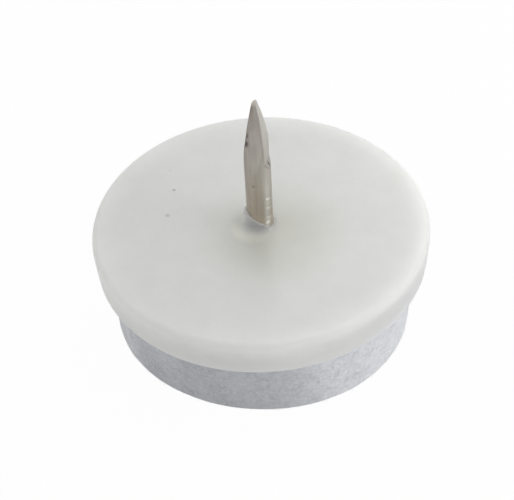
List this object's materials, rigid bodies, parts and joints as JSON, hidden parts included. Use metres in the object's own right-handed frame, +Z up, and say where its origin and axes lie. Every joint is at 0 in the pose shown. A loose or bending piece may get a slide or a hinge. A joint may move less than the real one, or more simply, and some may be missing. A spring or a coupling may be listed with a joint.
{
  "type": "furniture floor protector",
  "caption": "Nail-on felt glide for a chair leg: a round white plastic cap with a steel nail, on a thick grey felt pad.",
  "frame": {"origin": "middle of the felt pad's lower face, where the glide rests on the floor", "axes": "+Z up along the nail towards its point; -Y is the side that the picture looks at, +X its right"},
  "size_m": [0.024, 0.024, 0.019],
  "materials": {
    "white_plastic": "satin",
    "steel": "satin",
    "grey_felt": "matte"
  },
  "bodies": {
    "root": {"plastic_cap": "white_plastic", "nail": "steel", "felt_pad": "grey_felt"}
  },
  "joints": []
}
